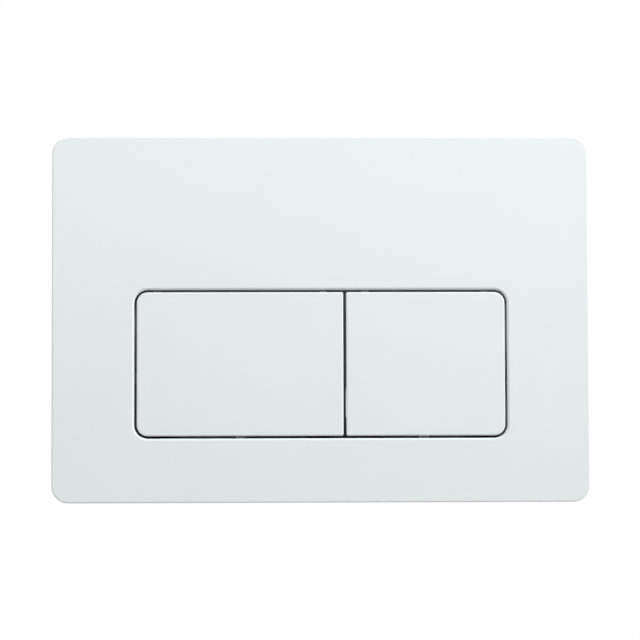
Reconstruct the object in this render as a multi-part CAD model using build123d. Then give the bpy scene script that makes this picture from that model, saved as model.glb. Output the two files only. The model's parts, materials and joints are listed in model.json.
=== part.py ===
from build123d import *
import os
from math import cos, radians, sin

# Dual flush button plate for a cistern that is built into the wall, in millimetres.
# X runs to the right, Y into the wall and Z up. The origin lies on the surface of
# the wall, behind the middle of the plate.

# Cover plate: a moulded shell that stands on the wall by its rim
PLATE_WIDTH = 220.0
PLATE_HEIGHT = 150.0
PLATE_DEPTH = 5.0
PLATE_CORNER = 7.0
PLATE_EDGE_ROUND = 0.6
FACE_WALL = 2.4
RIM_WALL = 2.2

# Opening in the plate and the collar behind it that the buttons move in
OPENING_SIDE_MARGIN = 33.65
OPENING_BOTTOM_MARGIN = 26.2
OPENING_CORNER = 5.5
OPENING_EDGE_CHAMFER = 0.7
COLLAR_WALL = 1.6
COLLAR_DEPTH = 11.0

# Stiffening ribs on the back of the plate and of the buttons
PLATE_RIB_WALL = 1.4
PLATE_RIB_DEPTH = 3.2
PLATE_RIB_PITCH = 26.0
BUTTON_RIB_WALL = 1.2
BUTTON_RIB_DEPTH = 2.2
BUTTON_RIB_PITCH = 16.0

# Push buttons: the full flush on the left takes the width that the other leaves
BUTTON_HEIGHT = 58.8
PART_BUTTON_WIDTH = 65.05
BUTTON_GAP = 1.0
BUTTON_SPLIT = 1.2
BUTTON_EDGE_CHAMFER = 0.4
SPLIT_CORNER = 0.8
BUTTON_WALL = 2.4
SKIRT_WALL = 1.6
SKIRT_DEPTH = 7.0
PRESS_ANGLE = 7.0

# Hinge along the top of each button
HINGE_DEPTH = 6.5
HINGE_DROP = 3.0
PIN_RADIUS = 1.25
PIN_GRIP = 0.02
PIN_PLAY = 0.06
PIN_PROUD = 0.8
PIN_NOTCH_PLAY = 0.5
EYE_WALL = 1.7
EYE_WIDTH = 3.0
EYE_INSET = 8.0
LUG_WALL = 1.5
LUG_WIDTH = 3.0
HINGE_CHAMFER = 1.2
HINGE_SIDE_PLAY = 0.4
NOTCH_PLAY = 0.6

# Stop hooks of the buttons, which catch behind the collar at rest
HOOK_WIDTH = 4.0
HOOK_ROOT = 3.0
HOOK_BARB = 2.2
HOOK_LENGTH = 3.2
HOOK_LAND = 0.8
HOOK_LIFT = 24.0
HOOK_PLAY = 0.3
COLLAR_WINDOW_HEIGHT = 5.2
COLLAR_BAR = 2.0

# Mounting frame: a flange on the wall round a tub in the wall
FLANGE_THICK = 2.0
FLANGE_CORNER = 5.0
FLANGE_CLEARANCE = 2.4
TUB_WALL = 2.0
TUB_DEPTH = 24.0
TUB_CORNER = 8.0
TUB_CHAMFER = 1.2
TUB_TOP_MARGIN = 21.0
SIDE_CHANNEL = 12.05
BOTTOM_CHANNEL = 3.6
FLOOR_WALL = 2.2
FLOOR_LEDGE_SIDE = 18.0
FLOOR_LEDGE_TOP = 8.0
FLOOR_BAR = 12.0
FLOOR_POST = 13.0
FLOOR_WINDOW_CORNER = 6.0
VENT_WIDTH = 20.0
VENT_HEIGHT = 12.0
VENT_PITCH = 27.0

# Locating walls and snap arms that hold the plate in the frame
LOCATE_CLEARANCE = 0.4
LOCATE_WALL = 1.6
LOCATE_DEPTH = 4.4
SNAP_INSET = 30.0
SNAP_WIDTH = 10.0
SNAP_LENGTH = 12.0
SNAP_BARB = 1.6
SNAP_BARB_LENGTH = 3.2
SNAP_PLAY = 0.1
SNAP_WINDOW_PLAY = 1.0

# Studs that fix the frame to the cistern, with their nuts and washers
FIXING_INSET = 8.0
STUD_RADIUS = 3.0
STUD_TAIL = 50.0
STUD_PROUD = 3.0
THREAD_RADIUS = 2.5
THREAD_FIT = 0.03
STEP_PLAY = 0.4
SLOT_PLAY = 0.3
SLOT_TRAVEL = 4.4
WASHER_RADIUS = 7.0
WASHER_THICK = 1.2
WASHER_PLAY = 0.15
NUT_FLATS = 8.0
NUT_THICK = 4.7

# Push rods with their heads and guide bushes
FULL_ROD_INSET = 34.1
PART_ROD_INSET = 14.7
ROD_LIFT = 13.7
ROD_RADIUS = 3.0
ROD_PLAY = 0.05
ROD_TAIL = 33.0
ROD_TIP_RADIUS = 2.5
ROD_TIP = 20.0
PUSHER_SIZE = 9.0
PUSHER_DEPTH = 6.7
PUSHER_PLAY = 0.3
HEAD_FLATS = 11.0
HEAD_LENGTH = 8.0
HEAD_CAP = 2.5
HEAD_CROWN = 1.0
HEAD_SLOPE = 3.5
HEAD_FIT = 0.02
GUIDE_FLANGE_SIZE = 16.0
GUIDE_FLANGE = 2.0
GUIDE_BODY_SIZE = 10.0
GUIDE_TAIL = 12.0
GUIDE_FIT = 0.1

# Leaf springs between the frame and the back of each button
LEAF_THICK = 0.4
LEAF_WIDTH = 12.0
LEAF_BEND = 2.5
LEAF_ROOT_MARGIN = 1.5
LEAF_FOOT = 6.0
LEAF_FOOT_DROP = 27.0
LEAF_PLAY = 0.3
LEAF_FIT = 0.1
PAD_MARGIN = 1.0
KEEPER_WALL = 1.6
KEEPER_HEIGHT = 5.0

# Rubber caps on posts of the frame that stop the buttons at the end of their travel
BUFFER_INSET = 10.0
BUFFER_WIDTH = 9.0
BUFFER_HEIGHT = 7.0
BUFFER_HEAD = 3.0
BUFFER_SKIRT = 4.0
BUFFER_WALL = 1.5
BUFFER_FIT = 0.05
BUFFER_PLAY = 0.3

INTO_WALL = (0, 1, 0)

# Depths, counted from the surface of the wall
PLATE_FRONT = -PLATE_DEPTH
FACE_BACK = PLATE_FRONT + FACE_WALL
COLLAR_BACK = PLATE_FRONT + COLLAR_DEPTH
BUTTON_BACK = PLATE_FRONT + BUTTON_WALL
SKIRT_BACK = PLATE_FRONT + SKIRT_DEPTH
PAD_BACK = BUTTON_BACK + BUTTON_RIB_DEPTH
PUSHER_BACK = PLATE_FRONT + PUSHER_DEPTH
HINGE_Y = PLATE_FRONT + HINGE_DEPTH
HOOK_CATCH = COLLAR_BACK + HOOK_PLAY
FLOOR_FRONT = TUB_DEPTH - FLOOR_WALL

# Opening and buttons
OPENING_WIDTH = PLATE_WIDTH - 2 * OPENING_SIDE_MARGIN
OPENING_HEIGHT = BUTTON_HEIGHT + 2 * BUTTON_GAP
OPENING_BOTTOM = OPENING_BOTTOM_MARGIN - PLATE_HEIGHT / 2
OPENING_TOP = OPENING_BOTTOM + OPENING_HEIGHT
OPENING_Z = (OPENING_BOTTOM + OPENING_TOP) / 2
BUTTON_BOTTOM = OPENING_BOTTOM + BUTTON_GAP
BUTTON_TOP = OPENING_TOP - BUTTON_GAP
BUTTON_CORNER = OPENING_CORNER - BUTTON_GAP
FULL_LEFT = BUTTON_GAP - OPENING_WIDTH / 2
PART_RIGHT = OPENING_WIDTH / 2 - BUTTON_GAP
PART_LEFT = PART_RIGHT - PART_BUTTON_WIDTH
FULL_RIGHT = PART_LEFT - BUTTON_SPLIT
FULL_MIDDLE = (FULL_LEFT + FULL_RIGHT) / 2
PART_MIDDLE = (PART_LEFT + PART_RIGHT) / 2
HINGE_Z = BUTTON_TOP - HINGE_DROP
EYE_HALF = PIN_RADIUS + PIN_PLAY + EYE_WALL
LUG_HALF = PIN_RADIUS + PIN_GRIP + LUG_WALL
HOOK_Z = BUTTON_BOTTOM + HOOK_LIFT
FULL_ROD_X = FULL_RIGHT - FULL_ROD_INSET
PART_ROD_X = PART_LEFT + PART_ROD_INSET
ROD_Z = BUTTON_BOTTOM + ROD_LIFT
LEAF_Z = BUTTON_TOP - LEAF_FOOT_DROP

# Frame
FLANGE_WIDTH = PLATE_WIDTH - 2 * (RIM_WALL + FLANGE_CLEARANCE)
FLANGE_HEIGHT = PLATE_HEIGHT - 2 * (RIM_WALL + FLANGE_CLEARANCE)
CAVITY_WIDTH = OPENING_WIDTH + 2 * (COLLAR_WALL + SIDE_CHANNEL)
CAVITY_BOTTOM = OPENING_BOTTOM - COLLAR_WALL - BOTTOM_CHANNEL
CAVITY_TOP = PLATE_HEIGHT / 2 - TUB_TOP_MARGIN
CAVITY_HEIGHT = CAVITY_TOP - CAVITY_BOTTOM
CAVITY_Z = (CAVITY_TOP + CAVITY_BOTTOM) / 2
CAVITY_CORNER = TUB_CORNER - TUB_WALL
BAR_Z = OPENING_TOP - BUTTON_GAP / 2
POST_X = FULL_RIGHT + BUTTON_SPLIT / 2
STUD_X = CAVITY_WIDTH / 2 - FIXING_INSET
SNAP_X = CAVITY_WIDTH / 2 - SNAP_INSET
SNAP_BACK = FACE_BACK + SNAP_LENGTH
SNAP_CATCH = SNAP_BACK - SNAP_BARB_LENGTH

# Rods
HEAD_FRONT = PUSHER_BACK + PUSHER_PLAY
HEAD_BACK = HEAD_FRONT + HEAD_LENGTH
ROD_FRONT = HEAD_FRONT + HEAD_CAP
GUIDE_FRONT = FLOOR_FRONT - GUIDE_FLANGE
GUIDE_BACK = TUB_DEPTH + GUIDE_TAIL
ROD_BACK = GUIDE_BACK + ROD_TAIL
ROD_STEP = ROD_BACK - ROD_TIP

# Fixings
WASHER_FRONT = FLOOR_FRONT - WASHER_THICK
NUT_FRONT = WASHER_FRONT - NUT_THICK
STUD_FRONT = NUT_FRONT - STUD_PROUD
STUD_STEP = TUB_DEPTH + STEP_PLAY
STUD_BACK = TUB_DEPTH + STUD_TAIL


def slab(outline, front, back):
    """An outline in X and Z, drawn out from one depth to another."""
    return extrude(Plane.XZ.offset(-front) * outline, amount=back - front, dir=INTO_WALL)


def plank(outline, middle, width):
    """An outline in Y and Z, drawn out to both sides of a place along X."""
    return extrude(Plane.YZ.offset(middle) * outline, amount=width / 2, both=True)


def spread(low, high, pitch):
    """Even places between two ends, about one pitch apart and clear of both ends."""
    count = max(1, round((high - low) / pitch) - 1)
    step = (high - low) / (count + 1)
    return [low + step * (i + 1) for i in range(count)]


def hexagon(flats):
    """A hexagon with the given distance across its flats."""
    return RegularPolygon(flats / 2, 6, major_radius=False)


def pressed_depth(depth, height):
    """Depth that a point of a button reaches at the end of its travel."""
    turn = radians(PRESS_ANGLE)
    return HINGE_Y + (depth - HINGE_Y) * cos(turn) - (height - HINGE_Z) * sin(turn)


def pressed_height(depth, height):
    """Height of a point of a button at the end of its travel."""
    turn = radians(PRESS_ANGLE)
    return HINGE_Z + (depth - HINGE_Y) * sin(turn) + (height - HINGE_Z) * cos(turn)


BUFFER_FRONT = pressed_depth(SKIRT_BACK, BUTTON_BOTTOM) + BUFFER_PLAY
BUFFER_Z = pressed_height(SKIRT_BACK, BUTTON_BOTTOM + SKIRT_WALL / 2)
BUFFER_SEAT = BUFFER_FRONT + BUFFER_HEAD


def eye_places(left, right):
    """Where the plate's hinge eyes stand along a button."""
    return [left + EYE_INSET, right - EYE_INSET]


def buffer_places(left, right):
    """Where the buffers of a button stand along it."""
    return [left + BUFFER_INSET, right - BUFFER_INSET]


def hinge_eye(x):
    """Eye for the hinge pin, on a neck at its back that hangs from the top of the collar."""
    top = OPENING_TOP + COLLAR_WALL
    eye = Pos(HINGE_Y, HINGE_Z) * Rectangle(2 * EYE_HALF, 2 * EYE_HALF)
    eye = chamfer(eye.vertices(), HINGE_CHAMFER)
    eye += Pos(HINGE_Y + EYE_HALF / 2, (top + HINGE_Z) / 2) * Rectangle(EYE_HALF, top - HINGE_Z)
    bore = Pos(HINGE_Y, HINGE_Z) * Circle(PIN_RADIUS + PIN_PLAY)
    return plank(eye - bore, x, EYE_WIDTH)


def pin_notch(x, width, back):
    """Room to push a hinge pin in past the end of a button or of the collar."""
    half = PIN_RADIUS + PIN_NOTCH_PLAY
    return slab(Pos(x, HINGE_Z) * Rectangle(width, 2 * half), HINGE_Y - half, back)


def snap_arm(x, side):
    """Arm with a barb that snaps into a window of the tub, at its top or bottom wall."""
    face = (CAVITY_HEIGHT / 2 - LOCATE_CLEARANCE) * side
    barb = face + SNAP_BARB * side
    root = face - LOCATE_WALL * side
    outline = Polygon(
        (FACE_BACK, root),
        (FACE_BACK, face),
        (SNAP_CATCH, face),
        (SNAP_CATCH, barb),
        (SNAP_BACK, face),
        (SNAP_BACK, root),
        align=None,
    )
    return Pos(0, 0, CAVITY_Z) * plank(outline, x, SNAP_WIDTH)


def collar_window(side):
    """Window in an end of the collar, with a bar left behind it for the stop hook."""
    x = side * (OPENING_WIDTH + COLLAR_WALL) / 2
    window = Pos(x, HOOK_Z) * Rectangle(2 * COLLAR_WALL, COLLAR_WINDOW_HEIGHT)
    return slab(window, FACE_BACK, COLLAR_BACK - COLLAR_BAR)


def cover_plate():
    """Moulded plate with its rim, collar, locating walls, ribs, snap arms and hinge eyes."""
    opening = Pos(0, OPENING_Z) * RectangleRounded(OPENING_WIDTH, OPENING_HEIGHT, OPENING_CORNER)
    outline = RectangleRounded(PLATE_WIDTH, PLATE_HEIGHT, PLATE_CORNER)
    plate = slab(outline - opening, PLATE_FRONT, 0)
    front = plate.faces().sort_by(Axis.Y)[0]
    plate = chamfer(front.inner_wires()[0].edges(), OPENING_EDGE_CHAMFER)
    front = plate.faces().sort_by(Axis.Y)[0]
    plate = fillet(front.outer_wire().edges(), PLATE_EDGE_ROUND)

    inside = RectangleRounded(
        PLATE_WIDTH - 2 * RIM_WALL, PLATE_HEIGHT - 2 * RIM_WALL, PLATE_CORNER - RIM_WALL
    )
    plate -= slab(inside, FACE_BACK, 0)

    collar = RectangleRounded(
        OPENING_WIDTH + 2 * COLLAR_WALL, OPENING_HEIGHT + 2 * COLLAR_WALL, OPENING_CORNER + COLLAR_WALL
    )
    plate += slab(Pos(0, OPENING_Z) * collar - opening, FACE_BACK, COLLAR_BACK)

    # Straight walls that centre the plate in the tub, clear of its rounded corners
    wall_x = CAVITY_WIDTH / 2 - LOCATE_CLEARANCE - LOCATE_WALL / 2
    wall_z = CAVITY_HEIGHT / 2 - LOCATE_CLEARANCE - LOCATE_WALL / 2
    wall_width = CAVITY_WIDTH - 2 * CAVITY_CORNER
    wall_height = CAVITY_HEIGHT - 2 * CAVITY_CORNER
    walls = Sketch()
    for side in (-1, 1):
        walls += Pos(side * wall_x, CAVITY_Z) * Rectangle(LOCATE_WALL, wall_height)
        walls += Pos(0, CAVITY_Z + side * wall_z) * Rectangle(wall_width, LOCATE_WALL)
    plate += slab(walls, FACE_BACK, FACE_BACK + LOCATE_DEPTH)

    # Ribs over the plain field above the collar
    low = OPENING_TOP + COLLAR_WALL / 2
    high = CAVITY_Z + wall_z
    ribs = Pos(0, (low + high) / 2) * Rectangle(2 * wall_x, PLATE_RIB_WALL)
    for x in spread(-wall_x, wall_x, PLATE_RIB_PITCH):
        ribs += Pos(x, (low + high) / 2) * Rectangle(PLATE_RIB_WALL, high - low)
    plate += slab(ribs, FACE_BACK, FACE_BACK + PLATE_RIB_DEPTH)

    for x in (-SNAP_X, SNAP_X):
        for side in (-1, 1):
            plate += snap_arm(x, side)
    for x in eye_places(FULL_LEFT, FULL_RIGHT) + eye_places(PART_LEFT, PART_RIGHT):
        plate += hinge_eye(x)
    for side in (-1, 1):
        plate -= collar_window(side)
        plate -= pin_notch(side * OPENING_WIDTH / 2, 2 * OPENING_CORNER, COLLAR_BACK)
    return plate


def button_outline(left, right, inset, outer_left):
    """Outline of a button with large corners at its outer end and small ones at the split."""
    width = right - left - 2 * inset
    height = BUTTON_HEIGHT - 2 * inset
    outline = Pos((left + right) / 2, (BUTTON_TOP + BUTTON_BOTTOM) / 2) * Rectangle(width, height)
    ends = outline.vertices().group_by(Axis.X)
    outer = ends[0] if outer_left else ends[-1]
    outline = fillet(outer, BUTTON_CORNER - inset)
    if inset < SPLIT_CORNER:
        ends = outline.vertices().group_by(Axis.X)
        split = ends[-1] if outer_left else ends[0]
        outline = fillet(split, SPLIT_CORNER - inset)
    return outline


def stop_hook():
    """Hook that points back from the origin, with its barb towards the right."""
    land = HOOK_CATCH + HOOK_LAND
    tip = HOOK_CATCH + HOOK_LENGTH
    outline = Polygon(
        (-SKIRT_WALL, SKIRT_BACK - HOOK_ROOT),
        (0, SKIRT_BACK - HOOK_ROOT),
        (0, HOOK_CATCH),
        (HOOK_BARB, HOOK_CATCH),
        (HOOK_BARB, land),
        (0, tip),
        (-SKIRT_WALL, tip),
        align=None,
    )
    return extrude(outline, amount=HOOK_WIDTH / 2, both=True)


def hinge_lug(x):
    """Lug of a button that grips the hinge pin."""
    reach = HINGE_Y + LUG_HALF - BUTTON_BACK
    lug = Pos(BUTTON_BACK + reach / 2, HINGE_Z) * Rectangle(reach, 2 * LUG_HALF)
    lug = chamfer(lug.vertices().group_by(Axis.X)[-1], HINGE_CHAMFER)
    bore = Pos(HINGE_Y, HINGE_Z) * Circle(PIN_RADIUS + PIN_GRIP)
    return plank(lug - bore, x, LUG_WIDTH)


def flush_button(left, right, rod_x, outer_left):
    """Button moulded as a tray, with ribs, hinge lugs, pusher and stop hooks behind its face."""
    middle = (left + right) / 2
    outer = left if outer_left else right
    button = slab(button_outline(left, right, 0, outer_left), PLATE_FRONT, SKIRT_BACK)
    button = chamfer(button.faces().sort_by(Axis.Y)[0].edges(), BUTTON_EDGE_CHAMFER)
    button -= slab(button_outline(left, right, SKIRT_WALL, outer_left), BUTTON_BACK, SKIRT_BACK)

    # Ribs below the hinge, with a pad for the leaf spring and the pusher for the rod
    low = BUTTON_BOTTOM + SKIRT_WALL / 2
    high = HINGE_Z - EYE_HALF - NOTCH_PLAY - BUTTON_RIB_WALL
    near = left + SKIRT_WALL / 2
    far = right - SKIRT_WALL / 2
    ribs = Pos(middle, high) * Rectangle(far - near, BUTTON_RIB_WALL)
    ribs += Pos(middle, ROD_Z) * Rectangle(far - near, BUTTON_RIB_WALL)
    ribs += Pos(middle, LEAF_Z) * Rectangle(LEAF_WIDTH + 2 * PAD_MARGIN, LEAF_FOOT + 2 * PAD_MARGIN)
    for x in spread(near, far, BUTTON_RIB_PITCH):
        ribs += Pos(x, (low + high) / 2) * Rectangle(BUTTON_RIB_WALL, high - low)
    button += slab(ribs, BUTTON_BACK, PAD_BACK)
    button += slab(Pos(rod_x, ROD_Z) * Rectangle(PUSHER_SIZE, PUSHER_SIZE), BUTTON_BACK, PUSHER_BACK)

    # Notches for the eyes of the plate, a lug inside each eye and room to push the pin in
    beside = (EYE_WIDTH + LUG_WIDTH) / 2 + HINGE_SIDE_PLAY
    eye_left, eye_right = eye_places(left, right)
    for x in (eye_left, eye_right):
        notch = Pos(x, BUTTON_TOP) * Rectangle(EYE_WIDTH + 2 * NOTCH_PLAY, 4 * SKIRT_WALL)
        button -= slab(notch, HINGE_Y - EYE_HALF - NOTCH_PLAY, SKIRT_BACK)
    button -= pin_notch(outer, 2 * BUTTON_CORNER, SKIRT_BACK)
    for x in (eye_left + beside, eye_right - beside):
        button += hinge_lug(x)

    turn = 180 if outer_left else 0
    button += Pos(outer, 0, HOOK_Z) * Rot(0, turn, 0) * stop_hook()
    button += Pos(middle, 0, BUTTON_BOTTOM) * Rot(0, 90, 0) * stop_hook()
    return button


def hinge_pin(left, right):
    """Steel pin through the lugs of a button and the eyes of the plate."""
    eye_left, eye_right = eye_places(left, right)
    length = eye_right - eye_left + EYE_WIDTH + 2 * PIN_PROUD
    return plank(Pos(HINGE_Y, HINGE_Z) * Circle(PIN_RADIUS), (left + right) / 2, length)


def floor_window(left, right, bottom, top):
    """Outline of a window in the floor of the tub, with cut corners."""
    width = right - left
    height = top - bottom
    window = Pos((left + right) / 2, (bottom + top) / 2) * Rectangle(width, height)
    return chamfer(window.vertices(), min(FLOOR_WINDOW_CORNER, width / 3, height / 3))


def floor_cuts():
    """Outlines of all the windows, vents and holes in the floor of the tub."""
    side = CAVITY_WIDTH / 2 - FLOOR_LEDGE_SIDE
    low = ROD_Z + GUIDE_FLANGE_SIZE
    bar_low = BAR_Z - FLOOR_BAR / 2
    cuts = floor_window(-side, side, BAR_Z + FLOOR_BAR / 2, CAVITY_TOP - FLOOR_LEDGE_TOP)
    cuts += floor_window(-side, POST_X - FLOOR_POST / 2, low, bar_low)
    cuts += floor_window(POST_X + FLOOR_POST / 2, side, low, bar_low)
    for x in (FULL_ROD_X - VENT_PITCH, (FULL_ROD_X + PART_ROD_X) / 2, PART_ROD_X + VENT_PITCH):
        cuts += Pos(x, ROD_Z) * Rectangle(VENT_WIDTH, VENT_HEIGHT)
    hole = GUIDE_BODY_SIZE + 2 * GUIDE_FIT
    for x in (FULL_ROD_X, PART_ROD_X):
        cuts += Pos(x, ROD_Z) * Rectangle(hole, hole)
    slot = 2 * (THREAD_RADIUS + SLOT_PLAY)
    for x in (-STUD_X, STUD_X):
        cuts += Pos(x, 0) * SlotOverall(slot + SLOT_TRAVEL, slot)
    return cuts


def leaf_keeper(x):
    """Bridge on the floor that holds the root of a leaf spring."""
    slot_front = FLOOR_FRONT - LEAF_THICK - LEAF_FIT
    slot_width = LEAF_WIDTH + 2 * LEAF_FIT
    bridge = Pos(x, BAR_Z) * Rectangle(slot_width + 2 * KEEPER_WALL, KEEPER_HEIGHT)
    slot = Pos(x, BAR_Z) * Rectangle(slot_width, KEEPER_HEIGHT)
    return slab(bridge, slot_front - KEEPER_WALL, FLOOR_FRONT) - slab(slot, slot_front, FLOOR_FRONT)


def mounting_frame():
    """Moulded tub with a flange on the wall, an open floor, buffer posts and spring keepers."""
    tub_outline = RectangleRounded(
        CAVITY_WIDTH + 2 * TUB_WALL, CAVITY_HEIGHT + 2 * TUB_WALL, TUB_CORNER
    )
    tub = slab(Pos(0, CAVITY_Z) * tub_outline, -FLANGE_THICK, TUB_DEPTH)
    tub = chamfer(tub.faces().sort_by(Axis.Y)[-1].edges(), TUB_CHAMFER)
    frame = tub + slab(RectangleRounded(FLANGE_WIDTH, FLANGE_HEIGHT, FLANGE_CORNER), -FLANGE_THICK, 0)
    cavity = Pos(0, CAVITY_Z) * RectangleRounded(CAVITY_WIDTH, CAVITY_HEIGHT, CAVITY_CORNER)
    frame -= slab(cavity, -FLANGE_THICK, FLOOR_FRONT)
    frame -= slab(floor_cuts(), FLOOR_FRONT, TUB_DEPTH)

    posts = Sketch()
    post_width = BUFFER_WIDTH - 2 * (BUFFER_WALL + BUFFER_FIT)
    post_height = BUFFER_HEIGHT - 2 * (BUFFER_WALL + BUFFER_FIT)
    for x in buffer_places(FULL_LEFT, FULL_RIGHT) + buffer_places(PART_LEFT, PART_RIGHT):
        posts += Pos(x, BUFFER_Z) * Rectangle(post_width, post_height)
    frame += slab(posts, BUFFER_SEAT, FLOOR_FRONT)
    for x in (FULL_MIDDLE, PART_MIDDLE):
        frame += leaf_keeper(x)

    # Windows in the tub for the barbs of the snap arms
    windows = Sketch()
    for x in (-SNAP_X, SNAP_X):
        windows += Pos(x, CAVITY_Z) * Rectangle(
            SNAP_WIDTH + 2 * SNAP_WINDOW_PLAY, CAVITY_HEIGHT + 2 * TUB_WALL
        )
    frame -= slab(windows, SNAP_CATCH - SNAP_PLAY, SNAP_BACK + SNAP_WINDOW_PLAY)
    return frame


def fixing_stud(x):
    """Stepped stud with a thin thread for the nut and a thick end for the cistern."""
    thread = slab(Pos(x, 0) * Circle(THREAD_RADIUS), STUD_FRONT, STUD_STEP)
    return thread + slab(Pos(x, 0) * Circle(STUD_RADIUS), STUD_STEP, STUD_BACK)


def fixing_washer(x):
    """Flat washer between a nut and the floor of the frame."""
    outline = Circle(WASHER_RADIUS) - Circle(THREAD_RADIUS + WASHER_PLAY)
    return slab(Pos(x, 0) * outline, WASHER_FRONT, FLOOR_FRONT)


def fixing_nut(x):
    """Hexagon nut on the thread of a stud."""
    outline = hexagon(NUT_FLATS) - Circle(THREAD_RADIUS + THREAD_FIT)
    return slab(Pos(x, 0) * outline, NUT_FRONT, WASHER_FRONT)


def push_rod(x):
    """Round rod from the head to the cistern, with a thinner tip for the lever there."""
    shaft = slab(Pos(x, ROD_Z) * Circle(ROD_RADIUS), ROD_FRONT, ROD_STEP)
    return shaft + slab(Pos(x, ROD_Z) * Circle(ROD_TIP_RADIUS), ROD_STEP, ROD_BACK)


def rod_head(x):
    """Hexagon cap on the end of a rod, crowned where the button pushes it."""
    head = slab(Pos(x, ROD_Z) * hexagon(HEAD_FLATS), HEAD_FRONT, HEAD_BACK)
    front = head.faces().sort_by(Axis.Y)[0]
    head = chamfer(front.edges(), HEAD_SLOPE, HEAD_CROWN, reference=front)
    return head - slab(Pos(x, ROD_Z) * Circle(ROD_RADIUS + HEAD_FIT), ROD_FRONT, HEAD_BACK)


def rod_guide(x):
    """Square guide bush in the floor of the tub, with a flange in front of it."""
    bore = Circle(ROD_RADIUS + ROD_PLAY)
    flange = Rectangle(GUIDE_FLANGE_SIZE, GUIDE_FLANGE_SIZE) - bore
    tail = Rectangle(GUIDE_BODY_SIZE, GUIDE_BODY_SIZE) - bore
    place = Pos(x, ROD_Z)
    return slab(place * flange, GUIDE_FRONT, FLOOR_FRONT) + slab(place * tail, FLOOR_FRONT, GUIDE_BACK)


def leaf_spring(x):
    """Bent strip from its keeper on the frame to a flat foot behind the button."""
    root_y = FLOOR_FRONT - LEAF_THICK / 2
    foot_y = PAD_BACK + LEAF_PLAY + LEAF_THICK / 2
    root = FLOOR_BAR / 2 - LEAF_ROOT_MARGIN
    path = FilletPolyline(
        (root_y, BAR_Z + root),
        (root_y, BAR_Z - root),
        (foot_y, LEAF_Z + LEAF_FOOT / 2),
        (foot_y, LEAF_Z - LEAF_FOOT / 2),
        radius=LEAF_BEND,
    )
    return plank(trace(path, LEAF_THICK), x, LEAF_WIDTH)


def buffer(x):
    """Rubber cap that is pressed over a post of the frame."""
    outline = Rectangle(BUFFER_WIDTH, BUFFER_HEIGHT)
    socket = Rectangle(BUFFER_WIDTH - 2 * BUFFER_WALL, BUFFER_HEIGHT - 2 * BUFFER_WALL)
    place = Pos(x, BUFFER_Z)
    back = BUFFER_SEAT + BUFFER_SKIRT
    return slab(place * outline, BUFFER_FRONT, back) - slab(place * socket, BUFFER_SEAT, back)


def buffers(left, right):
    """Both buffers of a button, as one group of solids."""
    return Compound(children=[buffer(x) for x in buffer_places(left, right)])


pieces = {
    "cover_plate": cover_plate(),
    "full_flush_button": flush_button(FULL_LEFT, FULL_RIGHT, FULL_ROD_X, True),
    "part_flush_button": flush_button(PART_LEFT, PART_RIGHT, PART_ROD_X, False),
    "full_flush_hinge_pin": hinge_pin(FULL_LEFT, FULL_RIGHT),
    "part_flush_hinge_pin": hinge_pin(PART_LEFT, PART_RIGHT),
    "full_flush_leaf_spring": leaf_spring(FULL_MIDDLE),
    "part_flush_leaf_spring": leaf_spring(PART_MIDDLE),
    "full_flush_push_rod": push_rod(FULL_ROD_X),
    "part_flush_push_rod": push_rod(PART_ROD_X),
    "full_flush_rod_head": rod_head(FULL_ROD_X),
    "part_flush_rod_head": rod_head(PART_ROD_X),
    "full_flush_rod_guide": rod_guide(FULL_ROD_X),
    "part_flush_rod_guide": rod_guide(PART_ROD_X),
    "full_flush_buffers": buffers(FULL_LEFT, FULL_RIGHT),
    "part_flush_buffers": buffers(PART_LEFT, PART_RIGHT),
    "mounting_frame": mounting_frame(),
    "left_fixing_stud": fixing_stud(-STUD_X),
    "right_fixing_stud": fixing_stud(STUD_X),
    "left_fixing_nut": fixing_nut(-STUD_X),
    "right_fixing_nut": fixing_nut(STUD_X),
    "left_fixing_washer": fixing_washer(-STUD_X),
    "right_fixing_washer": fixing_washer(STUD_X),
}

os.makedirs("parts", exist_ok=True)
for name, piece in pieces.items():
    export_step(piece, f"parts/{name}.step")
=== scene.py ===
import json
import math

import bmesh
import bpy
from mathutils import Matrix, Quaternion, Vector


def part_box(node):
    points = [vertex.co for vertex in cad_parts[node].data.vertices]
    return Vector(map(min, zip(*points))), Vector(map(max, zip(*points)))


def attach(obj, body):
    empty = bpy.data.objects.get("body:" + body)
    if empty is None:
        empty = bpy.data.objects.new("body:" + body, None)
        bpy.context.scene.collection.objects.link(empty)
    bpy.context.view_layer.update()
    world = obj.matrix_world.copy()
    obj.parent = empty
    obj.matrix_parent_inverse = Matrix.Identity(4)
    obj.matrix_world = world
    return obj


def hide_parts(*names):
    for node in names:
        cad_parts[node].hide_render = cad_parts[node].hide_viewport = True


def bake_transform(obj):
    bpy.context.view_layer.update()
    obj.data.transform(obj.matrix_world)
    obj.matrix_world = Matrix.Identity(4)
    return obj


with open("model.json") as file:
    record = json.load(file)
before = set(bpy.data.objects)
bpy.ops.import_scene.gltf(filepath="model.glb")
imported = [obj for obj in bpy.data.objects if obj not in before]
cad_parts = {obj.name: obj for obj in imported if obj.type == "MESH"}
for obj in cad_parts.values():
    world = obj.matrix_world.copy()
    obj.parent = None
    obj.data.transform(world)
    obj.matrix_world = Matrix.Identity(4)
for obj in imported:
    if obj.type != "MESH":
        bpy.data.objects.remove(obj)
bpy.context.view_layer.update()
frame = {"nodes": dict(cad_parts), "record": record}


# Cover plate: one injection moulding in white gloss plastic that clips into the frame.
# The mould leaves every edge a little round, and the polished face has a very faint
# unevenness that only shows in its gloss.
MM = 0.001
SAME_PLACE = 0.0005 * MM
SAME_PLANE = math.radians(0.5)
SHARP_TURN = math.radians(30.0)
ROUNDING_STEPS = 3
ROUND_PROFILE = 0.5
FRONT_SLOPE = 0.8 * MM

body_of_node = {}
for body, nodes in frame["record"]["behaviour"]["bodies"].items():
    for node in nodes:
        body_of_node[node] = body


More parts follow.
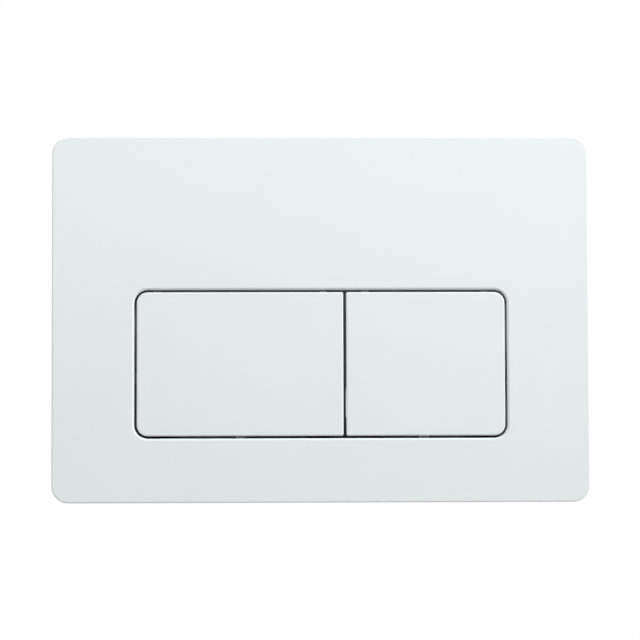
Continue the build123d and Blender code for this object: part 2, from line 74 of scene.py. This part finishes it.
def whole(node):
    """The shape of a node, with its triangles joined to whole faces."""
    shape = bmesh.new()
    shape.from_mesh(frame["nodes"][node].data)
    bmesh.ops.remove_doubles(shape, verts=shape.verts, dist=SAME_PLACE)
    bmesh.ops.dissolve_limit(shape, angle_limit=SAME_PLANE, verts=shape.verts, edges=shape.edges)
    return shape


def sharp_lines(shape):
    """The edges of a shape where its surface turns sharply."""
    return [line for line in shape.edges if line.calc_face_angle(0.0) > SHARP_TURN]


def rounded(shape, lines, edge):
    """Rounds some edges of a shape."""
    bmesh.ops.bevel(
        shape,
        geom=lines,
        offset=edge,
        affect="EDGES",
        segments=ROUNDING_STEPS,
        profile=ROUND_PROFILE,
        material=-1,
    )


def softened(node, edge, front_edge=0.0):
    """The shape of a node with its sharp edges rounded, as tools and moulds leave them.

    The edges on either side of a narrow slope round the node's front can be rounded more."""
    shape = whole(node)
    sharp = sharp_lines(shape)
    if front_edge:
        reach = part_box(node)[0][1] + FRONT_SLOPE
        front = [line for line in sharp if max(corner.co.y for corner in line.verts) < reach]
        rounded(shape, front, front_edge)
        sharp = [
            line for line in sharp_lines(shape) if min(corner.co.y for corner in line.verts) > reach
        ]
    rounded(shape, sharp, edge)
    bmesh.ops.remove_doubles(shape, verts=shape.verts, dist=SAME_PLACE)
    return shape


def stand_in(shape, node, finish):
    """Shows a finished shape in the place of its node."""
    name = node + "_finished"
    mesh = bpy.data.meshes.new(name)
    shape.to_mesh(mesh)
    shape.free()
    mesh.shade_smooth()
    mesh.materials.append(finish)
    piece = bpy.data.objects.new(name, mesh)
    bpy.context.collection.objects.link(piece)
    piece.modifiers.new("flat_faces_stay_flat", "WEIGHTED_NORMAL")
    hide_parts(node)
    return piece


def put_in_place(shape, node, finish):
    """Shows a finished shape in the place of its node, on the same body."""
    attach(stand_in(shape, node, finish), body_of_node[node])


def new_finish(name):
    """A new material, its nodes, and the place of a point on the piece that wears it."""
    finish = bpy.data.materials.new(name)
    finish.use_nodes = True
    tree = finish.node_tree
    place = tree.nodes.new("ShaderNodeTexCoord").outputs["Object"]
    return finish, tree, place


def add_noise(tree, place, size, detail):
    """A noise pattern with features of about the given size."""
    noise = tree.nodes.new("ShaderNodeTexNoise")
    noise.inputs["Scale"].default_value = 1.0 / size
    noise.inputs["Detail"].default_value = detail
    tree.links.new(place, noise.inputs["Vector"])
    return noise.outputs["Fac"]


def add_tint(tree, pattern, deeper, colour, spread):
    """Takes a surface from a deeper colour to its main one over a spread of a pattern."""
    tint = tree.nodes.new("ShaderNodeValToRGB")
    for step, start, tone in zip(tint.color_ramp.elements, spread, (deeper, colour)):
        step.position = start
        step.color = (*tone, 1.0)
    tree.links.new(pattern, tint.inputs["Fac"])
    tree.links.new(tint.outputs["Color"], tree.nodes["Principled BSDF"].inputs["Base Color"])


def add_shine(tree, pattern, gloss):
    """Varies the roughness of a surface over a range with a pattern."""
    shine = tree.nodes.new("ShaderNodeMapRange")
    shine.inputs["To Min"].default_value = gloss[0]
    shine.inputs["To Max"].default_value = gloss[1]
    tree.links.new(pattern, shine.inputs["Value"])
    tree.links.new(shine.outputs["Result"], tree.nodes["Principled BSDF"].inputs["Roughness"])


def add_relief(tree, pattern, height, strength=1.0):
    """Raises a surface a little with a pattern."""
    bump = tree.nodes.new("ShaderNodeBump")
    bump.inputs["Distance"].default_value = height
    bump.inputs["Strength"].default_value = strength
    tree.links.new(pattern, bump.inputs["Height"])
    tree.links.new(bump.outputs["Normal"], tree.nodes["Principled BSDF"].inputs["Normal"])


PLASTIC_IOR = 1.49
CLOUD_SIZE = 45 * MM
SMEAR_SIZE = 12 * MM


def moulded_plastic(name, colour, deeper, gloss, grain):
    """Plastic with a faint cloud in its colour, uneven gloss and the grain of its mould.

    gloss is the range of roughness, and grain the size and height of the mould's texture."""
    finish, tree, place = new_finish(name)
    tree.nodes["Principled BSDF"].inputs["IOR"].default_value = PLASTIC_IOR
    cloud = add_noise(tree, place, CLOUD_SIZE, detail=2.0)
    add_tint(tree, cloud, deeper, colour, spread=(0.35, 0.65))
    smear = add_noise(tree, place, SMEAR_SIZE, detail=3.0)
    add_shine(tree, smear, gloss)
    texture = add_noise(tree, place, grain[0], detail=2.0)
    add_relief(tree, texture, grain[1])
    return finish


white_gloss = moulded_plastic(
    "white_gloss_plastic",
    colour=(0.800, 0.844, 0.855),
    deeper=(0.792, 0.835, 0.846),
    gloss=(0.12, 0.18),
    grain=(1.6 * MM, 0.0015 * MM),
)
put_in_place(softened("cover_plate", edge=0.12 * MM), "cover_plate", white_gloss)


# Push buttons: two trays moulded in the same white plastic, hinged at their top edge.
# Their front edges are rounded a little more, so that the light draws a thin line round each.
for node in ("full_flush_button", "part_flush_button"):
    put_in_place(softened(node, edge=0.06 * MM, front_edge=0.17 * MM), node, white_gloss)


# Hinge pins: lengths of ground steel wire, pressed into the lugs of the buttons and
# free to turn in the eyes of the plate.
STREAK_HEIGHT = 0.01 * MM


def streaked_steel(name, colour, darker, gloss, along, streak):
    """Steel with the fine streaks of drawing, grinding or rolling, or the spots of plating.

    A small number in along makes long streaks on that axis, and equal numbers make spots."""
    finish, tree, place = new_finish(name)
    tree.nodes["Principled BSDF"].inputs["Metallic"].default_value = 1.0
    stretch = tree.nodes.new("ShaderNodeMapping")
    stretch.inputs["Scale"].default_value = along
    tree.links.new(place, stretch.inputs["Vector"])
    lines = add_noise(tree, stretch.outputs["Vector"], streak, detail=4.0)
    add_tint(tree, lines, darker, colour, spread=(0.3, 0.7))
    add_shine(tree, lines, gloss)
    add_relief(tree, lines, STREAK_HEIGHT, strength=0.4)
    return finish


def dress(node, finish):
    """Gives a node that keeps its own shape its finish."""
    frame["nodes"][node].material_slots[0].material = finish


ground_steel = streaked_steel(
    "ground_steel",
    colour=(0.62, 0.62, 0.63),
    darker=(0.50, 0.50, 0.51),
    gloss=(0.16, 0.30),
    along=(0.05, 1.0, 1.0),
    streak=0.2 * MM,
)
for node in ("full_flush_hinge_pin", "part_flush_hinge_pin"):
    dress(node, ground_steel)


# Leaf springs: strips of rolled spring steel, bent twice, with the root held in a keeper
# on the frame and the foot behind the button, which takes the foot along when it is pushed.
LEAF_ROOT = 9 * MM
LEAF_FOOT = 6 * MM
LEAF_STEPS = 16
UPWARD = (0.0, 0.0, 1.0)
spring_steel = streaked_steel(
    "spring_steel",
    colour=(0.44, 0.45, 0.47),
    darker=(0.34, 0.35, 0.37),
    gloss=(0.24, 0.38),
    along=(1.0, 0.04, 0.04),
    streak=0.3 * MM,
)
for button in ("full_flush", "part_flush"):
    node = button + "_leaf_spring"
    low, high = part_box(node)
    held = Vector((low[0], high[1], high[2] - LEAF_ROOT))
    pushed = Vector((low[0], low[1], low[2] + LEAF_FOOT))
    leaf = whole(node)
    for step in range(LEAF_STEPS + 1):
        bmesh.ops.bisect_plane(
            leaf,
            geom=leaf.verts[:] + leaf.edges[:] + leaf.faces[:],
            plane_co=held.lerp(pushed, step / LEAF_STEPS),
            plane_no=UPWARD,
        )
    piece = stand_in(leaf, node, spring_steel)
    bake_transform(piece)


# Push rods with their heads and guides: off-white slippery plastic that needs no grease.
# The heads are pushed onto the rods, and the guides sit in square holes of the frame.
slippery_plastic = moulded_plastic(
    "slippery_plastic",
    colour=(0.66, 0.66, 0.60),
    deeper=(0.63, 0.63, 0.57),
    gloss=(0.38, 0.5),
    grain=(0.7 * MM, 0.006 * MM),
)
for button in ("full_flush", "part_flush"):
    for kind, edge in (("_push_rod", 0.2 * MM), ("_rod_head", 0.3 * MM), ("_rod_guide", 0.4 * MM)):
        put_in_place(softened(button + kind, edge), button + kind, slippery_plastic)


# Buffers: black rubber caps on posts of the frame, which stop the buttons quietly.
# They are moulded soft and dull, and a faint bloom lightens the rubber in places.
RUBBER_ROUGHNESS = 0.75
BLOOM_SIZE = 4 * MM
SKIN_SIZE = 0.4 * MM
SKIN_HEIGHT = 0.03 * MM


def soft_rubber(name, bloom, black):
    """Dull rubber with a fine skin, lighter where it blooms."""
    finish, tree, place = new_finish(name)
    tree.nodes["Principled BSDF"].inputs["Roughness"].default_value = RUBBER_ROUGHNESS
    patches = add_noise(tree, place, BLOOM_SIZE, detail=3.0)
    add_tint(tree, patches, black, bloom, spread=(0.0, 1.0))
    skin = add_noise(tree, place, SKIN_SIZE, detail=2.0)
    add_relief(tree, skin, SKIN_HEIGHT)
    return finish


black_rubber = soft_rubber("black_rubber", bloom=(0.022, 0.022, 0.023), black=(0.010, 0.010, 0.011))
for node in ("full_flush_buffers", "part_flush_buffers"):
    put_in_place(softened(node, edge=0.5 * MM), node, black_rubber)


# Mounting frame: a tub moulded in dark grey plastic with a matt, finely eroded surface.
# Its flange lies on the wall, and it carries everything behind the buttons.
dark_matt = moulded_plastic(
    "dark_matt_plastic",
    colour=(0.190, 0.195, 0.200),
    deeper=(0.172, 0.177, 0.182),
    gloss=(0.5, 0.62),
    grain=(0.35 * MM, 0.02 * MM),
)
put_in_place(softened("mounting_frame", edge=0.2 * MM), "mounting_frame", dark_matt)


# Fixing studs: zinc plated steel with a rolled thread on both ends, a thin one for the
# nut in front of the frame's floor and a thick one for the bush in the cistern. The step
# between them lies just behind the frame.
THREAD_PITCH = 1.0 * MM
THREAD_HEIGHT = 0.55
CREST_START = 0.4
CREST_END = 0.6
THREAD_LEAD = 0.6 * MM
THREAD_STEPS = 24
SPARE_TURNS = 2
TURN_JOIN = 0.01 * MM


def add_thread(shape, axis_at, crest, start, end):
    """Adds a rolled thread along Y between two depths to a shape, turned down at its ends."""
    root = crest - THREAD_HEIGHT * THREAD_PITCH
    first = start - SPARE_TURNS * THREAD_PITCH
    turns = math.ceil((end - start) / THREAD_PITCH) + 2 * SPARE_TURNS
    outline = ((root, 0.0), (crest, CREST_START), (crest, CREST_END), (root, 1.0))
    thread = bmesh.new()
    corners = [
        thread.verts.new((axis_at[0] + out, first + along * THREAD_PITCH, axis_at[1]))
        for out, along in outline
    ]
    lines = [thread.edges.new(pair) for pair in zip(corners, corners[1:])]
    bmesh.ops.spin(
        thread,
        geom=corners + lines,
        cent=(axis_at[0], 0.0, axis_at[1]),
        axis=(0.0, 1.0, 0.0),
        dvec=(0.0, THREAD_PITCH / THREAD_STEPS, 0.0),
        angle=math.tau * turns,
        steps=THREAD_STEPS * turns,
    )
    bmesh.ops.remove_doubles(thread, verts=thread.verts, dist=TURN_JOIN)
    for depth, facing in ((start, -1.0), (end, 1.0)):
        cut = bmesh.ops.bisect_plane(
            thread,
            geom=thread.verts[:] + thread.edges[:] + thread.faces[:],
            plane_co=(0.0, depth, 0.0),
            plane_no=(0.0, facing, 0.0),
            clear_outer=True,
        )
        rim = [part for part in cut["geom_cut"] if isinstance(part, bmesh.types.BMEdge)]
        bmesh.ops.holes_fill(thread, edges=rim)
    for corner in thread.verts:
        out = Vector((corner.co.x - axis_at[0], 0.0, corner.co.z - axis_at[1]))
        from_end = min(corner.co.y - start, end - corner.co.y)
        furthest = crest - max(0.0, THREAD_LEAD - from_end)
        if out.length > furthest:
            corner.co -= out * (1.0 - furthest / out.length)
    bmesh.ops.recalc_face_normals(thread, faces=thread.faces)
    mesh = bpy.data.meshes.new("thread")
    thread.to_mesh(mesh)
    thread.free()
    shape.from_mesh(mesh)
    bpy.data.meshes.remove(mesh)


zinc_plate = streaked_steel(
    "zinc_plate",
    colour=(0.56, 0.57, 0.59),
    darker=(0.44, 0.45, 0.48),
    gloss=(0.22, 0.42),
    along=(1.0, 1.0, 1.0),
    streak=1.2 * MM,
)
STUD_THIN = 2.5 * MM
STEP_PLAY = 0.4 * MM
stud_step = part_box("mounting_frame")[1][1] + STEP_PLAY
for side in ("left", "right"):
    node = side + "_fixing_stud"
    low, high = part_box(node)
    stud_axis = ((low[0] + high[0]) / 2, (low[2] + high[2]) / 2)
    stud_thick = (high[0] - low[0]) / 2
    stud = bmesh.new()
    add_thread(stud, stud_axis, STUD_THIN, low[1], stud_step)
    add_thread(stud, stud_axis, stud_thick, stud_step, high[1])
    put_in_place(stud, node, zinc_plate)


# Nuts and washers: turned and stamped from steel and plated like the studs.
# The nuts press the washers onto the floor of the frame.
for side in ("left", "right"):
    put_in_place(softened(side + "_fixing_nut", edge=0.25 * MM), side + "_fixing_nut", zinc_plate)
    dress(side + "_fixing_washer", zinc_plate)


# Floor: a plain pale disc well below the plate, which is made to hang on a wall.
# It fades into the white surroundings, keeps the shadow of the object, and is clear from below.
FLOOR_DROP = 0.32
FLOOR_RADIUS = 3.0
FLOOR_SIDES = 96
FLOOR_COLOUR = (0.45, 0.45, 0.45, 1.0)
FLOOR_ROUGHNESS = 0.8
FADE_START = 0.35
FADE_END = 0.95
GLOW_NEAR = 0.55
GLOW_FAR = 1.0
HALF_A_BOUNCE = 0.5
floor_shape = bmesh.new()
bmesh.ops.create_circle(floor_shape, cap_ends=True, segments=FLOOR_SIDES, radius=FLOOR_RADIUS)
bmesh.ops.translate(floor_shape, verts=floor_shape.verts, vec=(0.0, 0.0, -FLOOR_DROP))
floor_mesh = bpy.data.meshes.new("floor")
floor_shape.to_mesh(floor_mesh)
floor_shape.free()
floor = bpy.data.objects.new("floor", floor_mesh)
bpy.context.collection.objects.link(floor)


def add_math(tree, operation, first, second):
    """A number worked out from two others."""
    result = tree.nodes.new("ShaderNodeMath")
    result.operation = operation
    tree.links.new(first, result.inputs[0])
    tree.links.new(second, result.inputs[1])
    return result.outputs["Value"]


def add_mix(tree, share, first, second):
    """A surface that is one thing, or another by a share."""
    mix = tree.nodes.new("ShaderNodeMixShader")
    tree.links.new(share, mix.inputs["Fac"])
    tree.links.new(first, mix.inputs[1])
    tree.links.new(second, mix.inputs[2])
    return mix.outputs["Shader"]


def seen_rays(tree):
    """One for what the camera sees, also in a mirror or through glass, and zero for light.

    A mirror that is itself seen only by scattered light counts as light."""
    path = tree.nodes.new("ShaderNodeLightPath").outputs
    mirrored = add_math(tree, "MAXIMUM", path["Is Camera Ray"], path["Is Glossy Ray"])
    through = add_math(tree, "MAXIMUM", mirrored, path["Is Transmission Ray"])
    unscattered = tree.nodes.new("ShaderNodeMath")
    unscattered.operation = "LESS_THAN"
    unscattered.inputs[1].default_value = HALF_A_BOUNCE
    tree.links.new(path["Diffuse Depth"], unscattered.inputs[0])
    return add_math(tree, "MULTIPLY", through, unscattered.outputs["Value"])


floor_paint, tree, place = new_finish("floor_paint")
surface = tree.nodes["Principled BSDF"]
surface.inputs["Base Color"].default_value = FLOOR_COLOUR
surface.inputs["Roughness"].default_value = FLOOR_ROUGHNESS
distance = tree.nodes.new("ShaderNodeVectorMath")
distance.operation = "LENGTH"
tree.links.new(place, distance.inputs[0])
fade = tree.nodes.new("ShaderNodeMapRange")
fade.interpolation_type = "SMOOTHSTEP"
fade.inputs["From Min"].default_value = FADE_START
fade.inputs["From Max"].default_value = FADE_END
fade.inputs["To Min"].default_value = GLOW_NEAR
fade.inputs["To Max"].default_value = GLOW_FAR
tree.links.new(distance.outputs["Value"], fade.inputs["Value"])
glow = tree.nodes.new("ShaderNodeEmission")
faded = add_math(tree, "MULTIPLY", fade.outputs["Result"], seen_rays(tree))
painted = add_mix(tree, faded, surface.outputs["BSDF"], glow.outputs["Emission"])
below = tree.nodes.new("ShaderNodeNewGeometry")
clear = tree.nodes.new("ShaderNodeBsdfTransparent")
one_way = add_mix(tree, below.outputs["Backfacing"], painted, clear.outputs["BSDF"])
tree.links.new(one_way, tree.nodes["Material Output"].inputs["Surface"])
floor_mesh.materials.append(floor_paint)


# Light: a white room that is dimmer behind the plate, two soft lamps above it, a large lamp
# far off on the right, and a weak one behind for whoever looks at the back.
ROOM_LIGHT_FRONT = 0.515
ROOM_LIGHT_BEHIND = 0.30
ROOM_TURN = 0.5
BACKDROP_LIGHT = 1.0
PURE_WHITE = (1.0, 1.0, 1.0, 1.0)
world = bpy.data.worlds.new("white_room")
bpy.context.scene.world = world
world.use_nodes = True
tree = world.node_tree
direction = tree.nodes.new("ShaderNodeTexCoord")
axes = tree.nodes.new("ShaderNodeSeparateXYZ")
tree.links.new(direction.outputs["Generated"], axes.inputs["Vector"])
dimming = tree.nodes.new("ShaderNodeMapRange")
dimming.inputs["From Min"].default_value = -ROOM_TURN
dimming.inputs["From Max"].default_value = ROOM_TURN
dimming.inputs["To Min"].default_value = ROOM_LIGHT_FRONT
dimming.inputs["To Max"].default_value = ROOM_LIGHT_BEHIND
tree.links.new(axes.outputs["Y"], dimming.inputs["Value"])
room = tree.nodes["Background"]
room.inputs["Color"].default_value = PURE_WHITE
tree.links.new(dimming.outputs["Result"], room.inputs["Strength"])
backdrop = tree.nodes.new("ShaderNodeBackground")
backdrop.inputs["Color"].default_value = PURE_WHITE
backdrop.inputs["Strength"].default_value = BACKDROP_LIGHT
surroundings = add_mix(tree, seen_rays(tree), room.outputs["Background"], backdrop.outputs["Background"])
tree.links.new(surroundings, tree.nodes["World Output"].inputs["Surface"])


def add_lamp(name, place, size, power):
    """A round soft lamp that points at the plate."""
    light = bpy.data.lights.new(name, "AREA")
    light.shape = "DISK"
    light.size = size
    light.energy = power
    lamp = bpy.data.objects.new(name, light)
    lamp.location = place
    lamp.rotation_mode = "QUATERNION"
    lamp.rotation_quaternion = (-place).to_track_quat("-Z", "Y")
    bpy.context.collection.objects.link(lamp)


add_lamp("top_right_lamp", Vector((0.30, -0.38, 0.52)), size=0.2, power=1.85)
add_lamp("top_left_lamp", Vector((-0.30, -0.38, 0.52)), size=0.2, power=1.05)
add_lamp("right_lamp", Vector((2.7, -1.0, 1.2)), size=1.0, power=57.0)
add_lamp("back_lamp", Vector((-0.35, 0.65, 0.75)), size=0.4, power=4.5)


# Camera: in front of the plate, a little low and to the left, with a long lens.
# It is turned by a hair about its own axis, as the photograph was.
CAMERA_PLACE = Vector((-0.0214, -0.900, -0.0441))
CAMERA_AIM = Vector((-0.0003, 0.0, -0.0002))
CAMERA_ROLL = math.radians(-0.16)
CAMERA_LENS = 123.14
CAMERA_SENSOR = 36.0
VIEW_AXIS = (0.0, 0.0, 1.0)
camera_lens = bpy.data.cameras.new("camera")
camera_lens.lens = CAMERA_LENS
camera_lens.sensor_width = CAMERA_SENSOR
camera = bpy.data.objects.new("camera", camera_lens)
camera.location = CAMERA_PLACE
camera.rotation_mode = "QUATERNION"
level = (CAMERA_AIM - CAMERA_PLACE).to_track_quat("-Z", "Y")
camera.rotation_quaternion = level @ Quaternion(VIEW_AXIS, CAMERA_ROLL)
bpy.context.collection.objects.link(camera)
bpy.context.scene.camera = camera
bpy.context.scene.view_settings.view_transform = "Standard"
